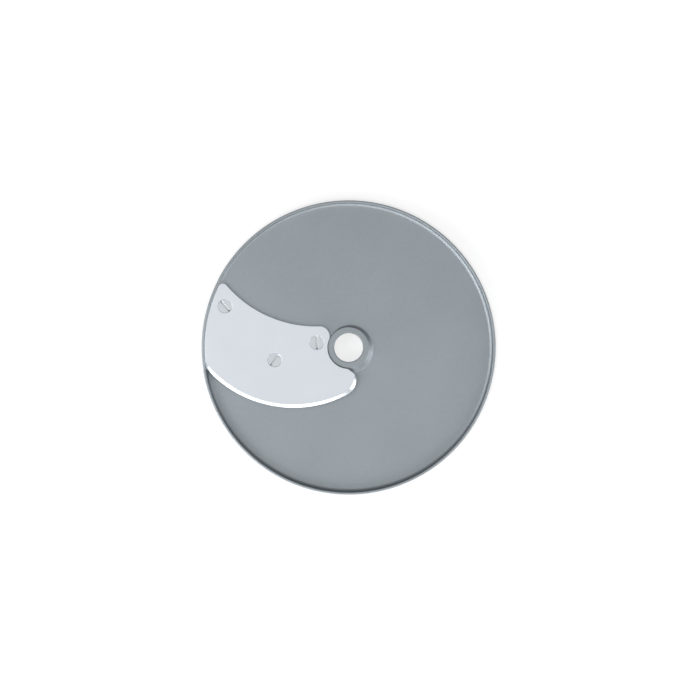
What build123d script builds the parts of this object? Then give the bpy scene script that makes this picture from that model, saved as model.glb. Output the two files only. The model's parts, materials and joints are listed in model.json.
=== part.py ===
from build123d import *
import math
import os

# Slicing disc of a vegetable preparation machine: a cast disc, a curved blade and its screws.
# Millimetres, +Z up along the drive bore, origin on that axis in the plane the rim stands on.
# Angles are degrees about +Z from +X. The disc turns counter-clockwise seen from above.

# Disc casting: rim and plate
disc_radius = 95.0
rim_height = 16.0
lip_width = 1.6
lip_chamfer = 0.4
skirt_wall = 3.0
rim_hollow_radius = 2.6
rim_hollow_flats = 3
plate_thickness = 4.0
seat_height = 14.0
slice_thickness = 3.0
ramp_foot_angle = -45.0
ramp_top_angle = 140.0
ramp_sections = 8
rim_gap_start_angle = 152.6
rim_gap_end_angle = 189.0
rim_gap_chamfer = 0.7
blade_ledge_end_angle = 188.0
seat_end_angle = 270.0
approach_start_angle = 169.0

# Disc casting: hub
bore_diameter = 18.7
bore_chamfer = 0.4
collar_top_radius = 13.1
collar_rise = 0.45
collar_slope = 45.0
hub_radius = 18.0
hub_lift = 0.5
drive_slot_width = 6.0
drive_slot_depth = 5.0
drive_slot_angle = 90.0

# Throat under the blade
throat_width = 20.5
lip_reach = 1.5

# Blade, with its plan as arcs
blade_thickness = 1.5
blade_end_gap = 0.6
hub_gap = 0.15
edge_radius = 75.1
edge_end_angle = 188.44
width_at_hub = 16.23
trailing_radius = 76.1
trailing_end_angle = 151.79
shoulder_set_in = 1.4
shoulder_length = 8.18
nose_root_angle = 267.0
nose_reach = 5.0
nose_drop = 4.1
end_corner_round = 3.0
shoulder_round = 6.4
shoulder_root_round = 2.5
nose_root_round = 3.0
nose_upper_round = 4.6
nose_lower_round = 11.0
edge_land = 0.15
bevel_width = 2.0
nose_bevel_width = 1.0
nose_bevel_round = 13.0

# Slotted countersunk screws and their bosses
outer_screw_inset = 8.6
outer_screw_angle = 161.44
inner_screw_offset = 7.05
inner_screw_angle = 171.13
middle_screw_place = (-47.8, -8.0)
slot_angles = (-48.5, -87.5, 55.0)
screw_diameter = 5.0
screw_length = 10.0
screw_tip_chamfer = 0.5
head_diameter = 9.0
head_land = 0.3
head_sink = 0.05
slot_width = 1.2
slot_depth = 1.2
head_clearance = 0.1
thread_clearance = 0.05
boss_diameter = 12.0
boss_foot = 4.5


def polar(radius, angle):
    """Point in plan at a radius and an angle."""
    return (radius * math.cos(math.radians(angle)), radius * math.sin(math.radians(angle)))


def arc_centre(start, end, radius):
    """Centre of an arc through two points in plan, on the left of the way between them."""
    across = (end[0] - start[0], end[1] - start[1])
    chord = math.hypot(*across)
    rise = math.sqrt(radius**2 - (chord / 2) ** 2) / chord
    return ((start[0] + end[0]) / 2 - rise * across[1], (start[1] + end[1]) / 2 + rise * across[0])


# Worked out from the sizes above
bore_radius = bore_diameter / 2
approach_height = seat_height - slice_thickness
underside_height = approach_height - plate_thickness
lip_inner_radius = disc_radius - lip_width
skirt_inner_radius = disc_radius - skirt_wall
collar_top = seat_height + collar_rise
hub_cutout_radius = collar_top_radius + collar_rise / math.tan(math.radians(collar_slope)) + hub_gap
blade_end_radius = lip_inner_radius - blade_end_gap
edge_below_hub = (0, -hub_cutout_radius - width_at_hub)
edge_centre = arc_centre(polar(blade_end_radius, edge_end_angle), edge_below_hub, edge_radius)
seat_front_radius = edge_radius - lip_reach - throat_width
nose_corner = (nose_reach, -hub_cutout_radius - nose_drop)
shoulder_x = shoulder_set_in - hub_cutout_radius
shoulder_root = (shoulder_x, math.sqrt(hub_cutout_radius**2 - shoulder_x**2))
shoulder_top = (shoulder_x, shoulder_root[1] + shoulder_length)
trailing_centre = arc_centre(polar(blade_end_radius, trailing_end_angle), shoulder_top, trailing_radius)
ramp_span = ramp_top_angle - ramp_foot_angle
full_turn = 360.0
blade_top = seat_height + blade_thickness
head_top = blade_top - head_sink
head_cone = (head_diameter - screw_diameter) / 2
outer_screw_place = polar(blade_end_radius - outer_screw_inset, outer_screw_angle)
inner_screw_place = polar(hub_cutout_radius + inner_screw_offset, inner_screw_angle)
screw_places = (outer_screw_place, inner_screw_place, middle_screw_place)
beyond = 2 * disc_radius


def circle_at(centre, radius):
    """Round face in plan."""
    return Pos(*centre) * Circle(radius)


def sector(points, start_angle, end_angle):
    """Section in radius and height, turned about the axis from one angle to another."""
    section = Plane.XZ * Polygon(*points, align=None)
    return Rot(0, 0, start_angle) * revolve(section, Axis.Z, end_angle - start_angle)


def round_corner(face, corner, radius):
    """Face with its corner nearest to a point rounded."""
    return fillet(face.vertices().sort_by_distance(corner)[0], radius)


def plate_section(top):
    """Radial section of the plate, level below, with the hollow that runs up into the rim.

    The hollow follows a quarter arc in a few flats.
    """
    inner = (bore_radius + collar_top_radius) / 2
    outer = disc_radius - lip_width / 2
    hollow_top = top + rim_hollow_radius
    hollow = []
    for step in range(rim_hollow_flats + 1):
        angle = math.radians(90 * step / rim_hollow_flats)
        radius = lip_inner_radius - rim_hollow_radius * (1 - math.sin(angle))
        height = hollow_top - rim_hollow_radius * math.cos(angle)
        hollow.append((radius, height))
    rest = [(outer, hollow_top), (outer, underside_height), (inner, underside_height), (inner, top)]
    return Plane.XZ * Polygon(*hollow, *rest, align=None)


def flat_plate(top, start_angle, end_angle):
    """Level stretch of the plate."""
    return Rot(0, 0, start_angle) * revolve(plate_section(top), Axis.Z, end_angle - start_angle)


def ramp_plate():
    """Stretch of the plate that climbs as a helix from the approach to the blade seat."""
    turn = ramp_span / ramp_sections
    climb = slice_thickness / ramp_sections
    sections = [
        Rot(0, 0, ramp_foot_angle + turn * step) * plate_section(approach_height + climb * step)
        for step in range(ramp_sections + 1)
    ]
    return loft(sections)


def rim():
    """Rim ring: a thin lip above the plate and a thicker skirt below it, which the disc stands on."""
    skirt_top = underside_height + plate_thickness / 2
    section = Polygon(
        (disc_radius, 0),
        (disc_radius, rim_height - lip_chamfer),
        (disc_radius - lip_chamfer, rim_height),
        (lip_inner_radius + lip_chamfer, rim_height),
        (lip_inner_radius, rim_height - lip_chamfer),
        (lip_inner_radius, skirt_top),
        (skirt_inner_radius, skirt_top),
        (skirt_inner_radius, 0),
        align=None,
    )
    return revolve(Plane.XZ * section, Axis.Z)


def hub():
    """Hub with its sloped collar, before the bore is cut."""
    drop = (hub_radius - collar_top_radius) * math.tan(math.radians(collar_slope))
    section = Polygon(
        (0, hub_lift),
        (hub_radius, hub_lift),
        (hub_radius, collar_top - drop),
        (collar_top_radius, collar_top),
        (0, collar_top),
        align=None,
    )
    return revolve(Plane.XZ * section, Axis.Z)


def bore():
    """Drive bore with its chamfered mouth, and the slot that the drive pin enters from below."""
    section = Polygon(
        (0, 0),
        (bore_radius, 0),
        (bore_radius, collar_top - bore_chamfer),
        (bore_radius + 2 * bore_chamfer, collar_top + bore_chamfer),
        (0, collar_top + bore_chamfer),
        align=None,
    )
    slot_height = hub_lift + drive_slot_depth
    slot_length = 2 * (hub_radius + drive_slot_width)
    slot = Pos(0, 0, slot_height / 2) * Box(slot_length, drive_slot_width, slot_height)
    return revolve(Plane.XZ * section, Axis.Z) + Rot(0, 0, drive_slot_angle) * slot


def screw_hole_in_disc(place):
    """Tapped hole of a boss, opened at the top round the screw's head."""
    thread_radius = screw_diameter / 2 + thread_clearance
    shaft = Cylinder(thread_radius, seat_height, align=(Align.CENTER, Align.CENTER, Align.MIN))
    depth_in_seat = head_land + head_cone - (blade_thickness - head_sink) + head_clearance
    mouth = Pos(0, 0, seat_height) * Cone(
        thread_radius,
        thread_radius + depth_in_seat,
        depth_in_seat,
        align=(Align.CENTER, Align.CENTER, Align.MAX),
    )
    return Pos(*place) * (shaft + mouth)


def disc_plate():
    """The whole casting."""
    seat = flat_plate(seat_height, ramp_top_angle, seat_end_angle)
    seat = seat & extrude(circle_at(edge_centre, seat_front_radius), rim_height)
    behind_edge = edge_plan(lip_reach, lip_reach, nose_lower_round - lip_reach)
    approach = flat_plate(approach_height, approach_start_angle, full_turn + ramp_foot_angle)
    approach = approach - extrude(behind_edge, rim_height)
    ledge = sector(
        [
            (skirt_inner_radius, underside_height),
            (lip_inner_radius + lip_chamfer, underside_height),
            (lip_inner_radius + lip_chamfer, seat_height),
            (skirt_inner_radius, seat_height),
        ],
        rim_gap_start_angle,
        blade_ledge_end_angle,
    )
    bosses = [
        Pos(*place, boss_foot) * Cylinder(
            boss_diameter / 2, seat_height - boss_foot, align=(Align.CENTER, Align.CENTER, Align.MIN)
        )
        for place in screw_places
    ]
    casting = rim() + ramp_plate() + seat + approach + ledge + hub() + bosses
    above_rim = Pos(0, 0, rim_height) * Cylinder(
        beyond, rim_height, align=(Align.CENTER, Align.CENTER, Align.MIN)
    )
    rim_gap = sector(
        [
            (blade_end_radius - 2 * rim_hollow_radius, seat_height),
            (disc_radius - rim_gap_chamfer, seat_height),
            (disc_radius + rim_gap_chamfer, seat_height - 2 * rim_gap_chamfer),
            (disc_radius + rim_gap_chamfer, 2 * rim_height),
            (blade_end_radius - 2 * rim_hollow_radius, 2 * rim_height),
        ],
        rim_gap_start_angle,
        rim_gap_end_angle,
    )
    return casting - above_rim - rim_gap - bore() - [screw_hole_in_disc(place) for place in screw_places]


def blade_plan():
    """Plan of the blade: arcs about four centres, with rounded corners."""
    nose_root = polar(hub_cutout_radius, nose_root_angle)
    beside_hub = Polygon(
        (shoulder_x, beyond),
        (shoulder_x, 0),
        nose_root,
        nose_corner,
        (nose_reach, -beyond),
        (beyond, -beyond),
        (beyond, beyond),
        align=None,
    )
    plan = circle_at(edge_centre, edge_radius) & Circle(blade_end_radius)
    plan = plan - circle_at(trailing_centre, trailing_radius) - Circle(hub_cutout_radius) - beside_hub
    plan = round_corner(plan, polar(blade_end_radius, trailing_end_angle), end_corner_round)
    plan = round_corner(plan, shoulder_top, shoulder_round)
    plan = round_corner(plan, shoulder_root, shoulder_root_round)
    plan = round_corner(plan, nose_root, nose_root_round)
    plan = round_corner(plan, nose_corner, nose_upper_round)
    return round_corner(plan, nose_foot(nose_reach, 0), nose_lower_round)


def nose_foot(nose_x, inset):
    """Point where the edge's arc, or one inside it, meets the nose's straight side."""
    return (nose_x, edge_centre[1] - math.sqrt((edge_radius - inset) ** 2 - (nose_x - edge_centre[0]) ** 2))


def edge_plan(inset, nose_inset, nose_round):
    """Plan that the ground edge follows: the edge's arc, turned round the nose."""
    nose_x = nose_reach - nose_inset
    left_of_nose = Pos(nose_x - beyond / 2, 0) * Rectangle(beyond, 2 * beyond)
    plan = circle_at(edge_centre, edge_radius - inset) & left_of_nose
    return round_corner(plan, nose_foot(nose_x, inset), nose_round)


def slicing_blade():
    """Flat blade, ground from above along its edge and round its nose, countersunk for the screws."""
    edge = edge_plan(0, 0, nose_lower_round)
    ground = edge_plan(bevel_width, nose_bevel_width, nose_bevel_round)
    bevel = loft([Pos(0, 0, edge_land) * edge, Pos(0, 0, blade_thickness) * ground], ruled=True)
    blade = extrude(blade_plan(), blade_thickness) & (extrude(edge, edge_land) + bevel)
    head_radius = head_diameter / 2
    cone_depth = blade_thickness - head_sink - head_land
    hole_section = Polygon(
        (0, 0),
        (head_radius - cone_depth, 0),
        (head_radius, cone_depth),
        (head_radius + head_clearance, cone_depth),
        (head_radius + head_clearance, blade_thickness),
        (0, blade_thickness),
        align=None,
    )
    hole = revolve(Plane.XZ * hole_section, Axis.Z)
    blade = blade - [Pos(*place) * hole for place in screw_places]
    return Pos(0, 0, seat_height) * blade


def slotted_screw(place, slot_angle):
    """One countersunk screw with a straight slot, its head just under the blade's top."""
    head_radius = head_diameter / 2
    radius = screw_diameter / 2
    section = Polygon(
        (0, 0),
        (head_radius, 0),
        (head_radius, -head_land),
        (radius, -head_land - head_cone),
        (radius, screw_tip_chamfer - screw_length),
        (radius - screw_tip_chamfer, -screw_length),
        (0, -screw_length),
        align=None,
    )
    slot = Box(2 * head_diameter, slot_width, 2 * slot_depth)
    screw = revolve(Plane.XZ * section, Axis.Z) - Rot(0, 0, slot_angle) * slot
    return Pos(*place, head_top) * screw


def blade_screws():
    """The three like screws, as separate solids."""
    screws = [slotted_screw(place, angle) for place, angle in zip(screw_places, slot_angles)]
    return Compound(children=[screw.solid() for screw in screws])


os.makedirs("parts", exist_ok=True)
for make_piece in (disc_plate, slicing_blade, blade_screws):
    export_step(make_piece(), f"parts/{make_piece.__name__}.step")
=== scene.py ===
import json
import math
from collections import namedtuple

import bmesh
import bpy
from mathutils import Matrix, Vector
from mathutils.geometry import interpolate_bezier, intersect_point_line


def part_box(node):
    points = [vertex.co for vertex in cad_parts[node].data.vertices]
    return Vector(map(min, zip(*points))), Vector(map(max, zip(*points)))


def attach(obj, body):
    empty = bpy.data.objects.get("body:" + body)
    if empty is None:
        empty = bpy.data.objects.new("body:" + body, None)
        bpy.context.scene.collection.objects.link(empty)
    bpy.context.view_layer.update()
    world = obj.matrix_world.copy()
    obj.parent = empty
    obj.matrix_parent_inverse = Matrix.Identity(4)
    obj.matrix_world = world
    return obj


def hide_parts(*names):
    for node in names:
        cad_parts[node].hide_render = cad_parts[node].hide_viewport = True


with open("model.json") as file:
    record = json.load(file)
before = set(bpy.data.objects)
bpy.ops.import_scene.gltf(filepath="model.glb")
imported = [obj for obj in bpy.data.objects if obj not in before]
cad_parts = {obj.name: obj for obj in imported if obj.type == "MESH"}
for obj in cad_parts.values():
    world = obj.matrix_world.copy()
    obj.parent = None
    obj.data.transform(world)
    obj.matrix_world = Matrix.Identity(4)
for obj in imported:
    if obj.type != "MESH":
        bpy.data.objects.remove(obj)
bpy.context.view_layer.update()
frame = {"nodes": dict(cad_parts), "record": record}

bl_info = {
    "name": "Slicing disc",
    "version": (1, 0, 0),
    "blender": (4, 5, 0),
    "location": "View3D > Sidebar > Slicing disc",
    "description": "Dresses the slicing disc: its casting, blade and screws on a pale studio floor",
    "category": "Add Mesh",
}

BODY = "root"
FULL_TURN = 2 * math.pi
# Points closer together than this are one point
MERGE = 2e-6
# An outline that turns more than this has a corner there
SHARP_CORNER = math.radians(25)
# A face whose normal is at least this upright is level
LEVEL_NORMAL = 0.9999
# Share of the collar's height that the fillet at its foot may take
FILLET_SHARE = 0.4
# Share of a soft edge's width at the middle of its rounding
SOFT_MIDDLE = 0.3
# Sides of a round hole or boss
ROUND_STEPS = 64
# Sides of a screw
SCREW_STEPS = 72
# Name of the attribute that turns each screw
SLOT_ANGLE = "slot_angle"
SEAT_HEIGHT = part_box("slicing_blade")[0].z
BLADE_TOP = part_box("slicing_blade")[1].z
SCREW_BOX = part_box("blade_screws")
BORE_RADIUS = next(
    mount["dims"]["r_mm"] / 1000 for mount in frame["record"]["mounts"] if mount["kind"] == "bore"
)


def length(name, description, default):
    """Setting that is a length in metres."""
    return bpy.props.FloatProperty(
        name=name, description=description, default=default, precision=5, unit="LENGTH"
    )


def turn(name, description, degrees):
    """Setting that is an angle, given here in degrees."""
    return bpy.props.FloatProperty(
        name=name, description=description, default=math.radians(degrees), subtype="ANGLE"
    )


def pair(name, description, default):
    """Setting that is a point in plan or a span, as two lengths in metres."""
    return bpy.props.FloatVectorProperty(
        name=name, description=description, default=default, size=2, precision=5, unit="LENGTH"
    )


def amount(name, description, default):
    """Setting that is a plain number."""
    return bpy.props.FloatProperty(name=name, description=description, default=default, subtype="FACTOR")


def colour(name, description, default):
    """Setting that is a colour."""
    return bpy.props.FloatVectorProperty(name=name, description=description, default=default, subtype="COLOR")


class CastingSizes(bpy.types.PropertyGroup):
    """Sizes of the disc's casting."""

    radius: length("Radius", "Outer radius of the rim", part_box("disc_plate")[1].x)
    rim_height: length("Rim height", "Height of the rim's lip above the floor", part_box("disc_plate")[1].z)
    lip_width: length("Lip width", "Thickness of the lip above the plate", 0.0016)
    lip_round: length("Lip round", "Rounding of the lip's upper edges", 0.0005)
    skirt_wall: length("Skirt wall", "Thickness of the skirt below the plate", 0.003)
    foot_round: length("Foot round", "Rounding of the skirt's and the hub's lower edges", 0.0004)
    rim_hollow: length("Rim hollow", "Radius of the hollow between plate and lip", 0.0026)
    seat_height: length("Seat height", "Height of the blade's seat", SEAT_HEIGHT)
    slice_thickness: length("Slice thickness", "Drop from the seat to the approach", 0.003)
    plate_thickness: length("Plate thickness", "Thickness of the approach", 0.004)
    under_fillet: length("Underside fillet", "Fillet between underside, skirt and hub", 0.0015)
    edge_round: length("Edge round", "Rounding of the throat's edges", 0.0004)
    ramp_foot: turn("Ramp foot", "Angle at which the plate starts to climb", -45)
    ramp_top: turn("Ramp top", "Angle at which the plate reaches the seat", 140)
    ramp_ease: turn("Ramp ease", "Stretch over which the climb starts and ends", 8)
    gap_start: turn("Gap start", "Angle at which the lip stops behind the blade", 152.6)
    gap_end: turn("Gap end", "Angle at which the lip starts in front of the blade", 189)
    gap_round: length("Gap round", "Rounding outside the lowered rim", 0.0007)
    bore_radius: length("Bore radius", "Radius of the drive bore", BORE_RADIUS)
    bore_chamfer: length("Bore chamfer", "Chamfer of the bore's mouths", 0.0004)
    collar_radius: length("Collar radius", "Radius of the collar's flat top", 0.0131)
    collar_rise: length("Collar rise", "Height of the collar above the seat", 0.00045)
    collar_round: length("Collar round", "Rounding of the collar's upper edge", 0.0003)
    collar_fillet: length("Collar fillet", "Most that the fillet at the collar's foot reaches", 0.0006)
    hub_radius: length("Hub radius", "Radius of the hub below the collar", 0.018)
    hub_lift: length("Hub lift", "Height of the hub's lower end", 0.0005)
    slot_width: length("Drive slot width", "Width of the slot across the hub's lower end", 0.006)
    slot_depth: length("Drive slot depth", "Depth of that slot", 0.005)
    throat_width: length("Throat width", "Width of the throat under the blade", 0.0205)
    lip_reach: length("Edge overhang", "How far the blade's edge reaches over the approach", 0.0015)
    edge_centre: pair("Edge centre", "Centre of the blade's edge in plan", (-0.0356, 0.0362))
    edge_radius: length("Edge radius", "Radius of the blade's edge in plan", 0.0751)
    nose_reach: length("Nose reach", "How far the blade's nose reaches past the axis", 0.005)
    nose_round: length("Nose round", "Rounding of the nose's lower corner", 0.011)
    boss_radius: length("Boss radius", "Radius of the screw bosses", 0.006)
    boss_foot: length("Boss foot", "Height of the bosses' lower ends", 0.0045)


class BladeSizes(bpy.types.PropertyGroup):
    """Sizes of the blade's finish, whose plan comes from the frame."""

    edge_soft: length("Edge softness", "Rounding of the blade's blunt edges", 0.00014)
    spacing: length("Spacing", "Distance between points along the outline", 0.0008)


class ScrewSizes(bpy.types.PropertyGroup):
    """Sizes of the slotted screws."""

    head_radius: length("Head radius", "Radius of the countersunk head", 0.0045)
    head_land: length("Head land", "Height of the head's straight side", 0.0003)
    shank_radius: length("Shank radius", "Radius of the shank", 0.0025)
    slot_width: length("Slot width", "Width of the slot", 0.0012)
    slot_depth: length("Slot depth", "Depth of the slot", 0.0012)
    tip_chamfer: length("Tip chamfer", "Chamfer of the shank's end", 0.0005)
    clearance: length("Head clearance", "Gap round the head in the blade", 0.0001)
    shank_clearance: length("Shank clearance", "Gap round the shank in the casting", 0.00005)
    edge_soft: length("Edge softness", "Rounding of the head's edges", 0.00012)
    slot_angles: bpy.props.FloatVectorProperty(
        name="Slot angles",
        description="How the slots are turned, from the outer screw to the inner one",
        default=[math.radians(angle) for angle in (-48.5, 55.0, -87.5)],
        unit="ROTATION",
    )


class DiscFinish(bpy.types.PropertyGroup):
    """Colours of the disc's metals."""

    cast_colour: colour("Cast aluminium", "Colour of the matt casting", (0.30, 0.33, 0.352))
    blade_colour: colour("Blade steel", "Colour of the satin blade", (0.65, 0.69, 0.73))
    screw_colour: colour("Screw steel", "Colour of the screws", (0.57, 0.60, 0.63))


class DiscStage(bpy.types.PropertyGroup):
    """Floor, lamps and camera."""

    floor_colour: colour("Floor", "Colour of the pale floor", (0.80, 0.80, 0.80))
    floor_size: length("Floor size", "Side of the square floor", 8.0)
    floor_glow: amount("Floor glow", "Brightness that the floor shows by itself", 0.72)
    floor_shading: amount("Floor shading", "Share of the lamps' light that the floor shows", 0.45)
    # Painted shadow: between these radii the floor's glow is faded under the disc, where the disc's shade
    # lies
    painted_hub_shade: pair("Hub shade", "Radii between which the glow fades under the hub", (0.013, 0.019))
    painted_rim_shade: pair("Rim shade", "Radii between which the glow comes back under the rim", (0.088, 0.098))
    far_glow: pair("Far glow", "Radii between which the glow grows to white", (0.4, 1.6))
    world_light: amount("World light", "Strength of the even light from all round", 0.34)
    camera_height: length("Camera height", "Height of the camera above the floor", 1.4)
    camera_place: pair("Camera place", "Point above which the camera stands", (0.0009, -0.0016))
    frame_width: length("Frame width", "Width that the picture shows at the height of the seat", 0.4524)


Lamp = namedtuple("Lamp", "name place size power")
LAMPS = (
    Lamp("top lamp", (0.25, 0.2, 1.7), size=1.8, power=8.0),
    Lamp("left lamp", (-0.95, -0.2, 0.8), size=1.0, power=10.0),
    Lamp("corner lamp", (-0.75, -0.85, 0.55), size=0.8, power=7.0),
    Lamp("front lamp", (0.1, -1.1, 0.55), size=0.8, power=6.0),
    Lamp("right lamp", (1.05, -0.35, 0.5), size=0.8, power=7.0),
)


class Nodes:
    """Short hand for building one node tree."""

    def __init__(self, tree):
        self.tree = tree
        self.tree.nodes.clear()

    def add(self, kind, inputs=None, **settings):
        """New node with its settings and the values of its inputs, by name or number."""
        node = self.tree.nodes.new(kind)
        for name, value in settings.items():
            setattr(node, name, value)
        for name, value in (inputs or {}).items():
            node.inputs[name].default_value = value
        return node

    def link(self, source, target):
        """Joins an output to an input."""
        self.tree.links.new(source, target)

    def feed(self, values, sockets):
        """Gives inputs their values, which are numbers or outputs of other nodes."""
        for value, socket in zip(values, sockets):
            if isinstance(value, (int, float)):
                socket.default_value = value
            else:
                self.link(value, socket)

    def math(self, operation, *values):
        """Result of a sum on numbers or outputs."""
        node = self.add("ShaderNodeMath", operation=operation)
        self.feed(values, node.inputs)
        return node.outputs["Value"]

    def vector(self, *values):
        """Vector from three numbers or outputs."""
        node = self.add("ShaderNodeCombineXYZ")
        self.feed(values, node.inputs)
        return node.outputs["Vector"]

    def mix(self, share, first, second):
        """Shader between two others."""
        node = self.add("ShaderNodeMixShader")
        self.feed((share, first, second), node.inputs)
        return node.outputs["Shader"]


def new_material(name):
    """Empty material and its node tree."""
    material = bpy.data.materials.new(name)
    material.use_nodes = True
    return material, Nodes(material.node_tree)


def noise(nodes, coordinates, scale, detail):
    """Noise on given coordinates, as a value about 0.5."""
    texture = nodes.add("ShaderNodeTexNoise", {"Scale": scale, "Detail": detail})
    nodes.link(coordinates, texture.inputs["Vector"])
    return texture.outputs["Fac"]


def ranged(nodes, value, low, high, start=0.0, end=1.0):
    """Value between a start and an end, spread between two numbers."""
    limits = {"From Min": start, "From Max": end, "To Min": low, "To Max": high}
    mapped = nodes.add("ShaderNodeMapRange", limits)
    nodes.link(value, mapped.inputs["Value"])
    return mapped.outputs["Result"]


def varied_colour(nodes, value, base, change):
    """Colour that darkens and lightens with a value by a share of itself."""
    mix = nodes.add("ShaderNodeMix", data_type="RGBA")
    mix.inputs["A"].default_value = [*(part * (1 - change) for part in base), 1]
    mix.inputs["B"].default_value = [*(part * (1 + change) for part in base), 1]
    nodes.link(value, mix.inputs["Factor"])
    return mix.outputs["Result"]


def metal(nodes, base, roughness, normal):
    """Metal shader on the material's output, from linked colour, roughness and normal."""
    shader = nodes.add("ShaderNodeBsdfPrincipled", {"Metallic": 1.0})
    nodes.link(base, shader.inputs["Base Color"])
    nodes.link(roughness, shader.inputs["Roughness"])
    nodes.link(normal, shader.inputs["Normal"])
    output = nodes.add("ShaderNodeOutputMaterial")
    nodes.link(shader.outputs["BSDF"], output.inputs["Surface"])


def bumped(nodes, height, strength, distance, under=None):
    """Normal that follows a height, on top of another normal where one is given."""
    bump = nodes.add("ShaderNodeBump", {"Strength": strength, "Distance": distance})
    nodes.link(height, bump.inputs["Height"])
    if under:
        nodes.link(under, bump.inputs["Normal"])
    return bump.outputs["Normal"]


def cast_aluminium(base):
    """Matt casting: fine grain and a faint unevenness over broad stains."""
    material, nodes = new_material("cast aluminium")
    where = nodes.add("ShaderNodeTexCoord").outputs["Object"]
    stains = noise(nodes, where, scale=26.0, detail=4.0)
    skin = noise(nodes, where, scale=420.0, detail=3.0)
    grain = noise(nodes, where, scale=2200.0, detail=2.0)
    uneven = bumped(nodes, skin, strength=0.12, distance=0.0002)
    normal = bumped(nodes, grain, strength=0.3, distance=0.00008, under=uneven)
    tinted = varied_colour(nodes, stains, base, change=0.07)
    metal(nodes, tinted, ranged(nodes, skin, 0.44, 0.62), normal)
    return material


def ground_lines(nodes, where, centre):
    """Noise drawn out into fine lines that run round a centre in plan."""
    moved = nodes.add("ShaderNodeVectorMath", {1: (*centre, 0.0)}, operation="SUBTRACT")
    nodes.link(where, moved.inputs[0])
    flat = nodes.add("ShaderNodeVectorMath", {1: (1.0, 1.0, 0.0)}, operation="MULTIPLY")
    nodes.link(moved.outputs["Vector"], flat.inputs[0])
    reach = nodes.add("ShaderNodeVectorMath", operation="LENGTH")
    nodes.link(flat.outputs["Vector"], reach.inputs[0])
    across = nodes.math("MULTIPLY", reach.outputs["Value"], 120.0)
    lines = nodes.add("ShaderNodeVectorMath", operation="ADD")
    nodes.link(moved.outputs["Vector"], lines.inputs[0])
    nodes.link(across, lines.inputs[1])
    return noise(nodes, lines.outputs["Vector"], scale=16.0, detail=3.0)


def satin_steel(name, base, roughness, centre=None):
    """Satin steel with a fine grain, or with ground lines round a centre."""
    material, nodes = new_material(name)
    where = nodes.add("ShaderNodeTexCoord").outputs["Object"]
    clouds = noise(nodes, where, scale=60.0, detail=2.0)
    if centre:
        grain = ground_lines(nodes, where, centre)
    else:
        grain = noise(nodes, where, scale=2500.0, detail=2.0)
    normal = bumped(nodes, grain, strength=0.1, distance=0.00003)
    tinted = varied_colour(nodes, clouds, base, change=0.03)
    metal(nodes, tinted, ranged(nodes, grain, roughness - 0.07, roughness + 0.07), normal)
    return material


def new_object(name, bm):
    """Object with a finished mesh, in the scene."""
    mesh = bpy.data.meshes.new(name)
    bm.to_mesh(mesh)
    bm.free()
    piece = bpy.data.objects.new(name, mesh)
    bpy.context.scene.collection.objects.link(piece)
    return piece


def clean(bm):
    """Joins doubled points, drops empty faces and turns all faces outwards."""
    bmesh.ops.remove_doubles(bm, verts=bm.verts, dist=MERGE)
    bmesh.ops.dissolve_degenerate(bm, edges=bm.edges, dist=MERGE)
    bmesh.ops.recalc_face_normals(bm, faces=bm.faces)


def plain_mesh(piece):
    """Makes what a piece's modifiers show its own mesh."""
    graph = bpy.context.evaluated_depsgraph_get()
    mesh = bpy.data.meshes.new_from_object(piece.evaluated_get(graph))
    piece.modifiers.clear()
    piece.data = mesh


def combine(piece, tool, operation):
    """Joins a tool's solid to a piece or cuts it out, and deletes the tool."""
    modifier = piece.modifiers.new("combine", "BOOLEAN")
    modifier.operation = operation
    modifier.solver = "EXACT"
    modifier.object = tool
    plain_mesh(piece)
    bpy.data.objects.remove(tool)


def hand_over(piece, node, material, sharp_degrees):
    """Shades a finished piece, gives it its finish and its body, and hides the CAD node that it stands for.
    """
    piece.data.shade_smooth()
    piece.data.set_sharp_from_angle(angle=math.radians(sharp_degrees))
    piece.data.materials.clear()
    piece.data.materials.append(material)
    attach(piece, BODY)
    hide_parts(node)


def arc(centre, radii, start, end, steps):
    """Points of an arc in a section, between two angles in degrees, with its two half axes."""
    angles = [math.radians(start + (end - start) * step / steps) for step in range(steps + 1)]
    return [(centre[0] + radii[0] * math.cos(a), centre[1] + radii[1] * math.sin(a)) for a in angles]


def between(low, high, share):
    """Number a share of the way between two numbers."""
    return low + (high - low) * share


def spread(low, high, steps):
    """Even numbers from one to another."""
    return [between(low, high, step / steps) for step in range(steps + 1)]


def climb(value, low, high, ease):
    """0 below low and 1 above high, with a straight climb between them and soft ends."""

    def soft(past):
        if abs(past) < ease:
            return (past + ease) ** 2 / (4 * ease)
        return max(past, 0)

    return (soft(value - low) - soft(value - high)) / (high - low)


def crossing(centre, arc_radius, radius):
    """Angle about the axis at which an arc, on the later side of its centre, lies at a radius."""
    distance = centre.length
    cosine = (radius**2 + distance**2 - arc_radius**2) / (2 * radius * distance)
    return math.atan2(centre.y, centre.x) + math.acos(cosine)


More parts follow.
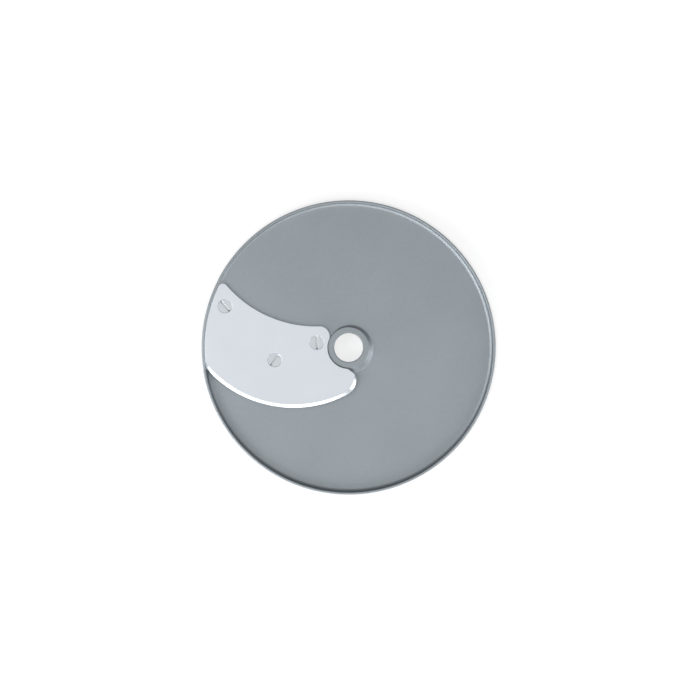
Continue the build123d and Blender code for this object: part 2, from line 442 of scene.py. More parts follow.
class Throat:
    """The throat's two walls in plan, as angles about the axis at a radius."""

    def __init__(self, sizes):
        self.edge_centre = Vector(sizes.edge_centre)
        self.approach_radius = sizes.edge_radius - sizes.lip_reach
        self.seat_radius = self.approach_radius - sizes.throat_width
        self.side = sizes.nose_reach - sizes.lip_reach
        self.nose_round = sizes.nose_round - sizes.lip_reach
        nose_x = self.side - self.nose_round
        reach = self.approach_radius - self.nose_round
        nose_y = self.edge_centre.y - math.sqrt(reach**2 - (nose_x - self.edge_centre.x) ** 2)
        self.nose_centre = Vector((nose_x, nose_y))
        self.side_end = Vector((self.side, nose_y)).length
        outwards = (self.nose_centre - self.edge_centre).normalized()
        self.nose_end = (self.edge_centre + outwards * self.approach_radius).length

    def seat(self, radius):
        """Angle of the seat's front edge."""
        return crossing(self.edge_centre, self.seat_radius, radius)

    def approach(self, radius):
        """Angle of the approach's edge: up the nose's side, round the nose and along the arc."""
        if radius < self.side_end:
            return -math.acos(self.side / radius)
        if radius < self.nose_end:
            return crossing(self.nose_centre, self.nose_round, radius)
        return crossing(self.edge_centre, self.approach_radius, radius) - FULL_TURN


class Station:
    """Place of one section along the plate, from the seat's front edge, 0, to the approach's edge, 1."""

    def __init__(self, share, inset, lowered):
        self.share = share
        self.inset = inset
        self.lowered = lowered


class CastingMesh:
    """Mesh of the casting, from sections that follow the plate round the axis."""

    PLATE_STEPS = 30
    CORNER_STEPS = 3
    HOLLOW_STEPS = 8
    STATIONS = 260
    THROAT_STEPS = 24

    def __init__(self, sizes):
        self.sizes = sizes
        self.throat = Throat(sizes)
        self.bm = bmesh.new()
        self.under = sizes.seat_height - sizes.slice_thickness - sizes.plate_thickness
        self.skirt_inner = sizes.radius - sizes.skirt_wall
        self.lip_inner = sizes.radius - sizes.lip_width
        self.hollow_start = self.lip_inner - sizes.rim_hollow
        self.hollow_turn = math.degrees(math.asin((self.skirt_inner - self.hollow_start) / sizes.rim_hollow))
        self.collar_top = sizes.seat_height + sizes.collar_rise
        self.collar_foot = self.collar_top - (sizes.hub_radius - sizes.collar_radius)

    def angle(self, station, radius):
        """Angle of a station's section at a radius; hub and rim turn with their own junctions."""
        radius = min(max(radius, self.sizes.hub_radius), self.skirt_inner)
        inset = station.inset / radius
        seat = self.throat.seat(radius) - inset
        return between(seat, self.throat.approach(radius) + inset, station.share)

    def drop(self, station):
        """How far the throat's rounded edge has fallen at a station."""
        past = max(self.sizes.edge_round - station.inset, 0)
        return self.sizes.edge_round - math.sqrt(self.sizes.edge_round**2 - past**2)

    def plate_top(self, station, radius):
        """Height of the plate's upper side."""
        sizes = self.sizes
        rise = climb(self.angle(station, radius), sizes.ramp_foot, sizes.ramp_top, sizes.ramp_ease)
        return sizes.seat_height - sizes.slice_thickness * (1 - rise) - self.drop(station)

    def hub_inside(self, plate_top, joined):
        """Section of the bore and the collar, out to the plate or, beside the throat, down the slope."""
        sizes = self.sizes
        points = [
            (sizes.bore_radius + sizes.bore_chamfer, sizes.hub_lift),
            (sizes.bore_radius, sizes.hub_lift + sizes.bore_chamfer),
            (sizes.bore_radius, self.collar_top - sizes.bore_chamfer),
            (sizes.bore_radius + sizes.bore_chamfer, self.collar_top),
        ]
        rounding = sizes.collar_round
        turned = sizes.collar_radius - rounding * math.tan(math.pi / 8)
        points += arc((turned, self.collar_top - rounding), (rounding, rounding), 90, 45, self.CORNER_STEPS)
        fall = self.collar_top - plate_top
        reach = min(sizes.collar_fillet, FILLET_SHARE * fall)
        foot = Vector((sizes.collar_radius + fall, plate_top))
        start = foot + Vector((-reach, reach))
        end = foot + Vector((reach * math.sqrt(2), 0))
        for share in spread(0, 1, self.CORNER_STEPS):
            near = start.lerp(foot, share).lerp(foot.lerp(end, share), share)
            points.append(tuple(near) if joined else tuple(start))
        return points

    def plate_upper(self, station, inner_radius):
        """Section of the plate's upper side, from the hub into the rim's hollow."""
        points = []
        for radius in spread(inner_radius, self.hollow_start, self.PLATE_STEPS):
            points.append((radius, self.plate_top(station, radius)))
        return points + self.hollow(station, spread(0, self.hollow_turn, self.CORNER_STEPS)[1:])

    def lip_top(self, station):
        """Height of the rim at a station."""
        return self.sizes.seat_height if station.lowered else self.sizes.rim_height

    def hollow(self, station, angles):
        """Points of the rim's hollow at angles of its arc in degrees."""
        sizes = self.sizes
        soft = 0 if station.lowered else sizes.lip_round
        points = []
        for angle in angles:
            radius = self.hollow_start + sizes.rim_hollow * math.sin(math.radians(angle))
            base = self.plate_top(station, radius)
            rise = min(sizes.rim_hollow, max(self.lip_top(station) - soft - base, 0))
            points.append((radius, base + rise * (1 - math.cos(math.radians(angle)))))
        return points

    def rim_outside(self, top, inner_height, soft):
        """Section of the lip's top, the outer wall and the skirt, from the lip's inner side."""
        sizes = self.sizes
        foot = sizes.foot_round
        rise = top - inner_height
        points = arc((self.lip_inner + rise, inner_height), (-rise, rise), 0, 90, self.CORNER_STEPS)
        points += arc((sizes.radius - soft, top - soft), (soft, soft), 90, 0, self.CORNER_STEPS)
        points += arc((sizes.radius - foot, foot), (foot, foot), 0, -90, self.CORNER_STEPS)
        points += arc((self.skirt_inner + foot, foot), (foot, foot), -90, -180, self.CORNER_STEPS)
        points.append((self.skirt_inner, self.under - sizes.under_fillet))
        return points

    def rim(self, station):
        """Section of the rim from the plate's edge, round the lip and the skirt, to the underside."""
        sizes = self.sizes
        hollow = self.hollow(station, spread(self.hollow_turn, 90, self.HOLLOW_STEPS))
        top = self.lip_top(station)
        soft = sizes.gap_round if station.lowered else sizes.lip_round
        inner_height = max(hollow[-1][1], top if station.lowered else top - sizes.lip_round)
        return hollow + self.rim_outside(top, inner_height, soft)

    def ledge(self, plate_height):
        """Section of the rim beside the open throat, level with the seat."""
        sizes = self.sizes
        seat = sizes.seat_height
        radii = spread(self.skirt_inner, self.lip_inner, self.HOLLOW_STEPS - 1)
        inner = [(self.skirt_inner, plate_height)] + [(radius, seat) for radius in radii]
        return inner + self.rim_outside(seat, seat, sizes.gap_round)

    def plate_lower(self, station):
        """Section of the underside from the hub to the skirt, as many points as the upper side has."""
        sizes = self.sizes
        fillet = sizes.under_fillet
        base = self.under - fillet
        rise = fillet + self.drop(station)
        points = arc((sizes.hub_radius + fillet, base), (fillet, rise), 180, 90, self.CORNER_STEPS)
        steps = self.PLATE_STEPS - self.CORNER_STEPS
        level = spread(sizes.hub_radius + fillet, self.skirt_inner - fillet, steps)
        points += [(radius, base + rise) for radius in level[1:-1]]
        return points + arc((self.skirt_inner - fillet, base), (fillet, rise), 90, 0, self.CORNER_STEPS)

    def hub_outside(self):
        """Section of the hub from the underside to its lower end."""
        sizes = self.sizes
        foot = sizes.foot_round
        corner = (sizes.hub_radius - foot, sizes.hub_lift + foot)
        top = (sizes.hub_radius, self.under - sizes.under_fillet)
        return [top] + arc(corner, (foot, foot), 0, -90, self.CORNER_STEPS)

    def ring(self, section, angle_at):
        """Points of a section in space, turned by an angle that may change with the radius."""
        points = []
        for radius, height in section:
            angle = angle_at(radius)
            points.append(self.bm.verts.new((radius * math.cos(angle), radius * math.sin(angle), height)))
        return points

    def skin(self, first, second, closed=True):
        """Faces between two rings of as many points."""
        count = len(first) if closed else len(first) - 1
        for here in range(count):
            after = (here + 1) % len(first)
            self.bm.faces.new((first[here], first[after], second[after], second[here]))

    def stations(self):
        """Sections along the plate, close together on the throat's edges and doubled where the lip stops."""
        sizes = self.sizes
        edge = sizes.edge_round
        ends = Station(0, edge, False), Station(1, edge, False)
        start, end = (self.angle(station, self.skirt_inner) for station in ends)
        stops = [(start - angle) / (start - end) for angle in (sizes.gap_start, sizes.gap_end - FULL_TURN)]
        insets = [edge * share for share in (0, 0.08, 0.3, 0.6)]
        shares = sorted(spread(0, 1, self.STATIONS) + stops)
        behind = [Station(share, edge, True) for share in shares if share <= stops[0]]
        round_rim = [Station(share, edge, False) for share in shares if stops[0] <= share <= stops[1]]
        in_front = [Station(share, edge, True) for share in shares if share >= stops[1]]
        first = [Station(0, inset, True) for inset in insets]
        last = [Station(1, inset, True) for inset in reversed(insets)]
        return first + behind + round_rim + in_front + last

    def build(self):
        """The whole casting without its bosses and drive slot."""
        sizes = self.sizes
        stations = self.stations()
        sections = []
        for station in stations:
            hub_inside = self.hub_inside(self.plate_top(station, sizes.hub_radius), True)
            upper = self.plate_upper(station, hub_inside[-1][0])
            parts = (hub_inside, upper, self.rim(station), self.plate_lower(station), self.hub_outside())
            sections.append([self.ring(part, lambda radius: self.angle(station, radius)) for part in parts])
        for first, second in zip(sections, sections[1:]):
            self.skin(self.whole(first), self.whole(second))
        start, end = stations[0], stations[-1]
        walls = [self.wall(sections[0], start), self.wall(sections[-1], end)]
        self.open_hub(sections, walls, start, end)
        self.open_rim(sections, walls, start, end)
        clean(self.bm)
        return self.bm

    def whole(self, section):
        """One ring from a section's parts."""
        hub_inside, upper, rim, lower, hub_outside = section
        return hub_inside + upper + rim + lower[::-1] + hub_outside

    def wall(self, section, station):
        """Wall at the throat between the plate's two sides, and its middle row of points."""
        sizes = self.sizes
        upper, lower = section[1], section[3]
        radii = spread(sizes.hub_radius, self.skirt_inner, len(upper) - 1)
        middle = self.ring([(radius, self.collar_foot) for radius in radii], lambda r: self.angle(station, r))
        self.skin(upper, middle, closed=False)
        self.skin(middle, lower, closed=False)
        return middle

    def open_hub(self, sections, walls, start, end):
        """The hub where the throat lies beside it."""
        sizes = self.sizes
        rings = [sections[-1][0] + [walls[1][0]] + sections[-1][4]]
        angles = [self.angle(station, sizes.hub_radius) for station in (end, start)]
        heights = [self.plate_top(station, sizes.hub_radius) for station in (end, start)]
        for share in spread(0, 1, self.THROAT_STEPS):
            angle = between(angles[0], angles[1] - FULL_TURN, share)
            section = self.hub_inside(between(*heights, share), False)
            section += [(sizes.hub_radius, self.collar_foot)] + self.hub_outside()
            rings.append(self.ring(section, lambda radius: angle))
        rings.append(sections[0][0] + [walls[0][0]] + sections[0][4])
        for first, second in zip(rings, rings[1:]):
            self.skin(first, second)

    def open_rim(self, sections, walls, start, end):
        """The rim where the throat lies beside it."""
        rings = [sections[-1][2] + [walls[1][-1]]]
        angles = [self.angle(station, self.skirt_inner) for station in (end, start)]
        heights = [sections[-1][2][0].co.z, sections[0][2][0].co.z]
        for share in spread(0, 1, self.THROAT_STEPS):
            angle = between(angles[0], angles[1] - FULL_TURN, share)
            section = self.ledge(between(*heights, share)) + [(self.skirt_inner, self.collar_foot)]
            rings.append(self.ring(section, lambda radius: angle))
        rings.append(sections[0][2] + [walls[0][-1]])
        for first, second in zip(rings, rings[1:]):
            self.skin(first, second)


def turned_wall(bm, profile, centre):
    """Adds a round wall about an upright axis from points of radius and height, and gives its rings."""
    rings = []
    for radius, height in profile:
        ring = []
        for angle in spread(0, FULL_TURN, ROUND_STEPS)[:-1]:
            x = centre.x + radius * math.cos(angle)
            y = centre.y + radius * math.sin(angle)
            ring.append(bm.verts.new((x, y, height)))
        rings.append(ring)
    for first, second in zip(rings, rings[1:]):
        for here in range(ROUND_STEPS):
            bm.faces.new((first[here - 1], first[here], second[here], second[here - 1]))
    return rings


def turned_solid(bm, profile, centre):
    """Adds a round solid from such points, closed at both ends."""
    rings = turned_wall(bm, profile, centre)
    bm.faces.new(rings[0])
    bm.faces.new(rings[-1])


def screw_places():
    """Centres of the screws in plan, from the frame: the middles of the CAD screws' separate solids."""
    bm = merged_copy("blade_screws")
    left = set(bm.verts)
    places = []
    while left:
        island = [left.pop()]
        for vert in island:
            for edge in vert.link_edges:
                other = edge.other_vert(vert)
                if other in left:
                    left.remove(other)
                    island.append(other)
        xs = [vert.co.x for vert in island]
        ys = [vert.co.y for vert in island]
        places.append(Vector(((min(xs) + max(xs)) / 2, (min(ys) + max(ys)) / 2)))
    bm.free()
    return sorted(places, key=lambda point: point.x)


def merged_copy(node):
    """Copy of a CAD node's mesh with its loose triangles joined."""
    bm = bmesh.new()
    bm.from_mesh(frame["nodes"][node].data)
    bmesh.ops.remove_doubles(bm, verts=bm.verts, dist=MERGE)
    return bm


class DISC_OT_casting(bpy.types.Operator):
    """Makes the disc's casting"""

    bl_idname = "slicing_disc.casting"
    bl_label = "Casting"

    def execute(self, context):
        sizes = context.scene.slicing_disc_casting
        screws = context.scene.slicing_disc_screws
        casting = new_object("casting", CastingMesh(sizes).build())
        combine(casting, self.bosses(sizes), "UNION")
        combine(casting, self.openings(sizes, screws), "DIFFERENCE")
        finish = context.scene.slicing_disc_finish
        hand_over(casting, "disc_plate", cast_aluminium(finish.cast_colour), 32)
        return {"FINISHED"}

    def bosses(self, sizes):
        """Bosses of the screws under the seat."""
        bm = bmesh.new()
        soft = sizes.foot_round
        corner = (sizes.boss_radius - soft, sizes.boss_foot + soft)
        profile = arc(corner, (soft, soft), -90, 0, CastingMesh.CORNER_STEPS)
        inside = sizes.seat_height - sizes.plate_thickness / 2
        profile.append((sizes.boss_radius, inside))
        for centre in screw_places():
            turned_solid(bm, profile, centre)
        clean(bm)
        return new_object("bosses", bm)

    def openings(self, sizes, screws):
        """Screw holes and the slot across the hub's lower end."""
        bm = bmesh.new()
        above = sizes.seat_height + sizes.plate_thickness
        radius = screws.shank_radius + screws.shank_clearance
        for centre in screw_places():
            turned_solid(bm, [(radius, 0), (radius, above)], centre)
        half_length = sizes.hub_radius + sizes.slot_width
        top = sizes.hub_lift + sizes.slot_depth
        for corner in bmesh.ops.create_cube(bm, size=1)["verts"]:
            corner.co.x *= sizes.slot_width
            corner.co.y *= 2 * half_length
            corner.co.z = top * (corner.co.z + 0.5)
        clean(bm)
        return new_object("openings", bm)


def outlines(bm, height):
    """Closed lines of points round the level faces at a height, the outer one first."""
    level = {face for face in bm.faces if all(abs(vert.co.z - height) < MERGE for vert in face.verts)}
    edges = {edge for face in level for edge in face.edges if len(level.intersection(edge.link_faces)) == 1}
    lines = []
    while edges:
        start, vert = edges.pop().verts
        line = [start]
        while vert != start:
            line.append(vert)
            edge = next(edge for edge in vert.link_edges if edge in edges)
            edges.remove(edge)
            vert = edge.other_vert(vert)
        lines.append(line)
    return sorted(lines, key=lambda line: min(vert.co.x for vert in line))


def finer(points, values, spacing):
    """Smooth closed line through points, with closer points and values; its corners stay sharp."""
    count = len(points)
    ways = [points[(here + 1) % count] - points[here] for here in range(count)]

    def tangent(here, own):
        before, after = ways[here - 1], ways[here % count]
        if before.angle(after) > SHARP_CORNER:
            return own
        along = before.normalized() * after.length + after.normalized() * before.length
        return along.normalized() * own.length

    made = []
    for here, way in enumerate(ways):
        start, end = points[here], points[(here + 1) % count]
        steps = max(round(way.length / spacing), 1)
        leave = start + tangent(here, way) / 3
        arrive = end - tangent(here + 1, way) / 3
        line = interpolate_bezier(start, leave, arrive, end, steps + 1)
        for step in range(steps):
            made.append((line[step], between(values[here], values[(here + 1) % count], step / steps)))
    return made


def nearest(line, point):
    """Nearest point of a closed line."""
    best = None
    for here in range(len(line)):
        start, end = line[here - 1], line[here]
        share = intersect_point_line(point, start, end)[1]
        near = start.lerp(end, min(max(share, 0), 1))
        if best is None or (near - point).length < (best - point).length:
            best = near
    return best


class BladeMesh:
    """Mesh of the blade, whose plan and ground edge come from the CAD blade."""

    def __init__(self, sizes, screws):
        self.sizes = sizes
        self.screws = screws
        self.bm = bmesh.new()

    def plan(self):
        """Outline with the height of its wall at each point, and the outline of the flat top."""
        cad = merged_copy("slicing_blade")
        lower = outlines(cad, SEAT_HEIGHT)[0]
        walls = []
        for foot in lower:
            heights = [vert.co.z for vert in cad.verts if (vert.co.xy - foot.co.xy).length < 5 * MERGE]
            walls.append(max(heights))
        outline = finer([vert.co.xy.to_3d() for vert in lower], walls, self.sizes.spacing)
        upper = [vert.co.xy.to_3d() for vert in outlines(cad, BLADE_TOP)[0]]
        top = [point for point, wall in finer(upper, [BLADE_TOP] * len(upper), self.sizes.spacing)]
        cad.free()
        return outline, top

    def column(self, point, inwards, wall, near):
        """Points up the blade's side at one point of its outline, and whether the side is ground there."""
        soft = self.sizes.edge_soft
        foot = min(soft, (wall - SEAT_HEIGHT) / 3)
        ground = (near - point).length >= soft
        if ground:
            upper = [(point, wall), (point.lerp(near, 0.5), between(wall, BLADE_TOP, 0.5)), (near, BLADE_TOP)]
        else:
            upper = [
                (point, wall - soft),
                (point + inwards * soft * SOFT_MIDDLE, BLADE_TOP - soft * SOFT_MIDDLE),
                (point + inwards * soft, BLADE_TOP),
            ]
        rows = [(point + inwards * foot, SEAT_HEIGHT), (point, SEAT_HEIGHT + foot)] + upper
        return [self.bm.verts.new((*plan.xy, height)) for plan, height in rows], ground

    def columns(self):
        """Columns of points all round the blade, and which of them are ground."""
        outline, top = self.plan()
        points = [point for point, wall in outline]
        count = len(points)
        area = sum(points[here - 1].cross(points[here]).z for here in range(count))
        side = math.copysign(1, area)
        made = []
        for here, (point, wall) in enumerate(outline):
            along = (points[(here + 1) % count] - points[here - 1]).normalized()
            inwards = Vector((-along.y, along.x, 0)) * side
            made.append(self.column(point, inwards, wall, nearest(top, point)))
        return zip(*made)

    def build(self):
        """The whole blade, whose ground faces have the second material."""
        columns, ground = self.columns()
        for here in range(len(columns)):
            first, second = columns[here - 1], columns[here]
            for row in range(len(first) - 1):
                face = self.bm.faces.new((first[row], second[row], second[row + 1], first[row + 1]))
                face.material_index = int(row > 1 and ground[here - 1] and ground[here])
        holes = [turned_wall(self.bm, self.hole_section(), centre) for centre in screw_places()]
        for end in (0, -1):
            self.fill([column[end] for column in columns], [hole[end] for hole in holes])
        clean(self.bm)
        return self.bm

    def hole_section(self):
        """Section of a countersunk screw hole, from the underside to the top."""
        screws = self.screws
        soft = self.sizes.edge_soft
        land = SCREW_BOX[1].z - screws.head_land
        mouth = screws.head_radius + screws.clearance
        return [
            (screws.head_radius - (land - SEAT_HEIGHT), SEAT_HEIGHT),
            (screws.head_radius, land),
            (mouth, land),
            (mouth, BLADE_TOP - soft),
            (mouth + soft * SOFT_MIDDLE, BLADE_TOP - soft * SOFT_MIDDLE),
            (mouth + soft, BLADE_TOP),
        ]

    def fill(self, outer, holes):
        """Level face between an outline and the holes in it."""
        edges = []
        for line in (outer, *holes):
            for here in range(len(line)):
                edges.append(self.bm.edges.get((line[here - 1], line[here])))
        bmesh.ops.triangle_fill(self.bm, use_beauty=True, edges=edges, normal=(0, 0, 1))


class DISC_OT_blade(bpy.types.Operator):
    """Makes the curved blade"""

    bl_idname = "slicing_disc.blade"
    bl_label = "Blade"

    def execute(self, context):
        scene = context.scene
        blade = new_object("blade", BladeMesh(scene.slicing_disc_blade, scene.slicing_disc_screws).build())
        finish = scene.slicing_disc_finish
        centre = scene.slicing_disc_casting.edge_centre
        steel = satin_steel("blade steel", finish.blade_colour, 0.36, centre)
        hand_over(blade, "slicing_blade", steel, 25)
        for face in blade.data.polygons:
            face.use_smooth = abs(face.normal.z) < LEVEL_NORMAL
        blade.data.materials.append(satin_steel("ground edge", finish.blade_colour, 0.24, centre))
        return {"FINISHED"}


def screw_rings(nodes, given):
    """Radius and depth below the head's top of each ring of a screw, from its tip up."""
    head, shank = given["Head radius"], given["Shank radius"]
    land, soft = given["Head land"], given["Edge softness"]
    tip, reach = given["Tip chamfer"], given["Length"]
    cone_foot = nodes.math("ADD", land, nodes.math("SUBTRACT", head, shank))
    return (
        (nodes.math("SUBTRACT", shank, tip), reach),
        (shank, nodes.math("SUBTRACT", reach, tip)),
        (shank, cone_foot),
        (head, land),
        (head, soft),
        (nodes.math("SUBTRACT", head, soft), 0.0),
    )


def screw_body(nodes, given):
    """Screw without its slot: a cylinder of even rings, each set to its own radius and height."""
    rings = screw_rings(nodes, given)
    last = len(rings) - 1
    even = {"Vertices": SCREW_STEPS, "Side Segments": last, "Radius": 1.0, "Depth": float(last)}
    cylinder = nodes.add("GeometryNodeMeshCylinder", even)
    where = nodes.add("ShaderNodeSeparateXYZ")
    nodes.link(nodes.add("GeometryNodeInputPosition").outputs["Position"], where.inputs["Vector"])
    row = nodes.math("ROUND", nodes.math("ADD", where.outputs["Z"], last / 2))
    picked = []
    for values in zip(*rings):
        switch = nodes.add("GeometryNodeIndexSwitch", data_type="FLOAT")
        while len(switch.index_switch_items) < len(rings):
            switch.index_switch_items.new()
        nodes.feed((row, *values), switch.inputs)
        picked.append(switch.outputs["Output"])
    radius, depth = picked
    x = nodes.math("MULTIPLY", where.outputs["X"], radius)
    y = nodes.math("MULTIPLY", where.outputs["Y"], radius)
    body = nodes.add("GeometryNodeSetPosition")
    nodes.link(cylinder.outputs["Mesh"], body.inputs["Geometry"])
    nodes.link(nodes.vector(x, y, nodes.math("MULTIPLY", depth, -1.0)), body.inputs["Position"])
    return body.outputs["Geometry"]


def screw_slot(nodes, given):
    """Bar that cuts the slot, wider than the head and half above its top."""
    long = nodes.math("MULTIPLY", given["Head radius"], 3.0)
    deep = nodes.math("MULTIPLY", given["Slot depth"], 2.0)
    bar = nodes.add("GeometryNodeMeshCube")
    nodes.link(nodes.vector(long, given["Slot width"], deep), bar.inputs["Size"])
    return bar.outputs["Mesh"]


def screw_tree(names):
    """Node tree that sets a slotted screw on each point, turned by the point's own angle."""
    tree = bpy.data.node_groups.new("slotted screws", "GeometryNodeTree")
    sockets = tree.interface
    sockets.new_socket("Geometry", in_out="INPUT", socket_type="NodeSocketGeometry")
    for name in names:
        sockets.new_socket(name, in_out="INPUT", socket_type="NodeSocketFloat")
    sockets.new_socket("Material", in_out="INPUT", socket_type="NodeSocketMaterial")
    sockets.new_socket("Geometry", in_out="OUTPUT", socket_type="NodeSocketGeometry")
    nodes = Nodes(tree)
    given = nodes.add("NodeGroupInput").outputs
    cut = nodes.add("GeometryNodeMeshBoolean", operation="DIFFERENCE", solver="EXACT")
    nodes.link(screw_body(nodes, given), cut.inputs["Mesh 1"])
    nodes.link(screw_slot(nodes, given), cut.inputs["Mesh 2"])
    angle = nodes.add("GeometryNodeInputNamedAttribute", {"Name": SLOT_ANGLE}, data_type="FLOAT")
    rotation = nodes.add("FunctionNodeEulerToRotation")
    nodes.link(nodes.vector(0.0, 0.0, angle.outputs["Attribute"]), rotation.inputs["Euler"])
    instances = nodes.add("GeometryNodeInstanceOnPoints")
    nodes.link(given["Geometry"], instances.inputs["Points"])
    nodes.link(cut.outputs["Mesh"], instances.inputs["Instance"])
    nodes.link(rotation.outputs["Rotation"], instances.inputs["Rotation"])
    real = nodes.add("GeometryNodeRealizeInstances")
    nodes.link(instances.outputs["Instances"], real.inputs["Geometry"])
    painted = nodes.add("GeometryNodeSetMaterial")
    nodes.link(real.outputs["Geometry"], painted.inputs["Geometry"])
    nodes.link(given["Material"], painted.inputs["Material"])
    nodes.link(painted.outputs["Geometry"], nodes.add("NodeGroupOutput").inputs["Geometry"])
    return tree


class DISC_OT_screws(bpy.types.Operator):
    """Makes the three slotted screws"""

    bl_idname = "slicing_disc.screws"
    bl_label = "Screws"

    def execute(self, context):
        sizes = context.scene.slicing_disc_screws
        finish = context.scene.slicing_disc_finish
        steel = satin_steel("screw steel", finish.screw_colour, 0.34)
        screws = new_object("screws", self.points(sizes))
        self.set_screws(screws, sizes, steel)
        soft = screws.modifiers.new("soft edges", "BEVEL")
        soft.width = sizes.edge_soft
        soft.segments = 2
        soft.angle_limit = math.radians(50)
        plain_mesh(screws)
        hand_over(screws, "blade_screws", steel, 35)
        return {"FINISHED"}

    def points(self, sizes):
        """Middles of the heads' tops, each with the angle of its slot."""
        bm = bmesh.new()
        angles = bm.verts.layers.float.new(SLOT_ANGLE)
        for centre, angle in zip(screw_places(), sizes.slot_angles):
            bm.verts.new((*centre, SCREW_BOX[1].z))[angles] = angle
        return bm

    def set_screws(self, screws, sizes, steel):
        """Turns the points into plain screws."""
        values = {
            "Head radius": sizes.head_radius,
            "Head land": sizes.head_land,
            "Shank radius": sizes.shank_radius,
            "Length": SCREW_BOX[1].z - SCREW_BOX[0].z,
            "Tip chamfer": sizes.tip_chamfer,
            "Slot width": sizes.slot_width,
            "Slot depth": sizes.slot_depth,
            "Edge softness": sizes.edge_soft,
        }
        modifier = screws.modifiers.new("screws", "NODES")
        modifier.node_group = screw_tree(values)
        for socket in modifier.node_group.interface.items_tree:
            if socket.name in values:
                modifier[socket.identifier] = values[socket.name]
            elif socket.name == "Material":
                modifier[socket.identifier] = steel
        plain_mesh(screws)


def floor_brightness(nodes, stage, path):
    """Strength of the floor's own glow: faded for the camera under the disc as a painted shadow where the
    disc's shade lies, and white far off.
    """
    where = nodes.add("ShaderNodeTexCoord").outputs["Object"]
    length_node = nodes.add("ShaderNodeVectorMath", operation="LENGTH")
    nodes.link(where, length_node.inputs[0])
    reach = length_node.outputs["Value"]
    # Painted shadow: the glow fades out under the hub and comes back past the rim
    under_hub = ranged(nodes, reach, stage.floor_glow, 0.0, *stage.painted_hub_shade)
    past_rim = ranged(nodes, reach, 0.0, stage.floor_glow, *stage.painted_rim_shade)
    far_off = ranged(nodes, reach, 0.0, 1.0 - stage.floor_glow, *stage.far_glow)
    shown = nodes.math("MAXIMUM", under_hub, nodes.math("ADD", past_rim, far_off))
    mirrored = nodes.math("MULTIPLY", path["Is Glossy Ray"], stage.floor_glow)
    return nodes.math("MAXIMUM", shown, mirrored)


def floor_material(stage):
    """Pale floor that shows white where no shadow falls, with a painted shadow under the disc, and clear from
    below.
    """
    material, nodes = new_material("studio floor")
    base = Vector(stage.floor_colour)
    pale = nodes.add("ShaderNodeBsdfDiffuse", {"Color": [*base, 1]})
    faint = nodes.add("ShaderNodeBsdfDiffuse", {"Color": [*(base * stage.floor_shading), 1]})
    path = nodes.add("ShaderNodeLightPath").outputs
    glow = nodes.add("ShaderNodeEmission")
    nodes.link(floor_brightness(nodes, stage, path), glow.inputs["Strength"])
    lit = nodes.add("ShaderNodeAddShader")
    nodes.link(faint.outputs["BSDF"], lit.inputs[0])
    nodes.link(glow.outputs["Emission"], lit.inputs[1])
    seen = nodes.math("MAXIMUM", path["Is Camera Ray"], path["Is Glossy Ray"])
    seen = nodes.math("MAXIMUM", seen, path["Is Transmission Ray"])
    shown = nodes.mix(seen, pale.outputs["BSDF"], lit.outputs["Shader"])
    clear = nodes.add("ShaderNodeBsdfTransparent")
    from_below = nodes.add("ShaderNodeNewGeometry").outputs["Backfacing"]
    output = nodes.add("ShaderNodeOutputMaterial")
    nodes.link(nodes.mix(from_below, shown, clear.outputs["BSDF"]), output.inputs["Surface"])
    return material


def studio_world(strength):
    """World that lights softly and shows white behind the object."""
    world = bpy.data.worlds.new("studio")
    bpy.context.scene.world = world
    world.use_nodes = True
    nodes = Nodes(world.node_tree)
    light = nodes.add("ShaderNodeBackground", {"Strength": strength})
    white = nodes.add("ShaderNodeBackground", {"Color": (1.0, 1.0, 1.0, 1.0)})
    seen = nodes.add("ShaderNodeLightPath").outputs["Is Camera Ray"]
    shown = nodes.mix(seen, light.outputs["Background"], white.outputs["Background"])
    nodes.link(shown, nodes.add("ShaderNodeOutputWorld").inputs["Surface"])


def area_lamp(lamp):
    """Square lamp that faces the disc."""
    data = bpy.data.lights.new(lamp.name, "AREA")
    data.size = lamp.size
    data.energy = lamp.power
    made = bpy.data.objects.new(lamp.name, data)
    made.location = lamp.place
    made.rotation_euler = (-Vector(lamp.place)).to_track_quat("-Z", "Y").to_euler()
    bpy.context.scene.collection.objects.link(made)


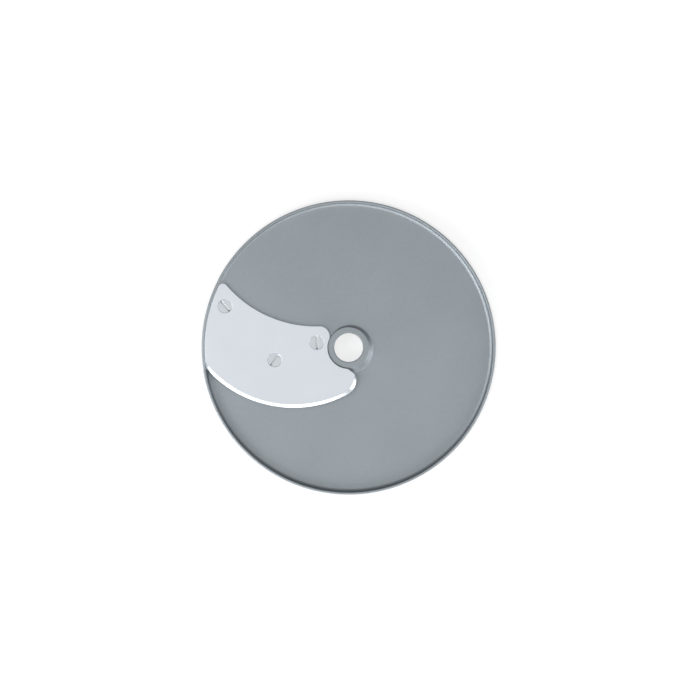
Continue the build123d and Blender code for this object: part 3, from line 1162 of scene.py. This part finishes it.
class DISC_OT_stage(bpy.types.Operator):
    """Makes the floor, the lamps and the camera"""

    bl_idname = "slicing_disc.stage"
    bl_label = "Stage"

    def execute(self, context):
        stage = context.scene.slicing_disc_stage
        self.floor(stage)
        studio_world(stage.world_light)
        for lamp in LAMPS:
            area_lamp(lamp)
        context.scene.camera = self.camera(stage)
        context.scene.view_settings.view_transform = "Standard"
        return {"FINISHED"}

    def floor(self, stage):
        """Square floor under the disc."""
        bm = bmesh.new()
        half = stage.floor_size / 2
        corners = ((-half, -half), (half, -half), (half, half), (-half, half))
        bm.faces.new([bm.verts.new((*corner, 0)) for corner in corners])
        floor = new_object("floor", bm)
        floor.data.materials.append(floor_material(stage))

    def camera(self, stage):
        """Camera straight above the disc, whose lens shows the frame's width at the seat's height."""
        data = bpy.data.cameras.new("camera")
        data.sensor_width = 36.0
        data.lens = data.sensor_width * (stage.camera_height - SEAT_HEIGHT) / stage.frame_width
        camera = bpy.data.objects.new("camera", data)
        camera.location = (*stage.camera_place, stage.camera_height)
        bpy.context.scene.collection.objects.link(camera)
        return camera


PIECES = (DISC_OT_casting, DISC_OT_blade, DISC_OT_screws, DISC_OT_stage)


class DISC_PT_panel(bpy.types.Panel):
    """Lists the disc's pieces and its stage"""

    bl_idname = "DISC_PT_panel"
    bl_label = "Slicing disc"
    bl_space_type = "VIEW_3D"
    bl_region_type = "UI"
    bl_category = "Slicing disc"

    def draw(self, context):
        for piece in PIECES:
            self.layout.operator(piece.bl_idname)


SETTINGS = {
    "slicing_disc_casting": CastingSizes,
    "slicing_disc_blade": BladeSizes,
    "slicing_disc_screws": ScrewSizes,
    "slicing_disc_finish": DiscFinish,
    "slicing_disc_stage": DiscStage,
}
CLASSES = (*SETTINGS.values(), *PIECES, DISC_PT_panel)


def register():
    """Adds the classes and their settings."""
    for each in CLASSES:
        bpy.utils.register_class(each)
    for name, group in SETTINGS.items():
        setattr(bpy.types.Scene, name, bpy.props.PointerProperty(type=group))


def unregister():
    """Takes the classes and their settings away."""
    for name in SETTINGS:
        delattr(bpy.types.Scene, name)
    for each in reversed(CLASSES):
        bpy.utils.unregister_class(each)


def main():
    """Builds the whole disc on its stage."""
    register()
    bpy.ops.slicing_disc.casting()
    bpy.ops.slicing_disc.blade()
    bpy.ops.slicing_disc.screws()
    bpy.ops.slicing_disc.stage()


if __name__ == "__main__":
    main()
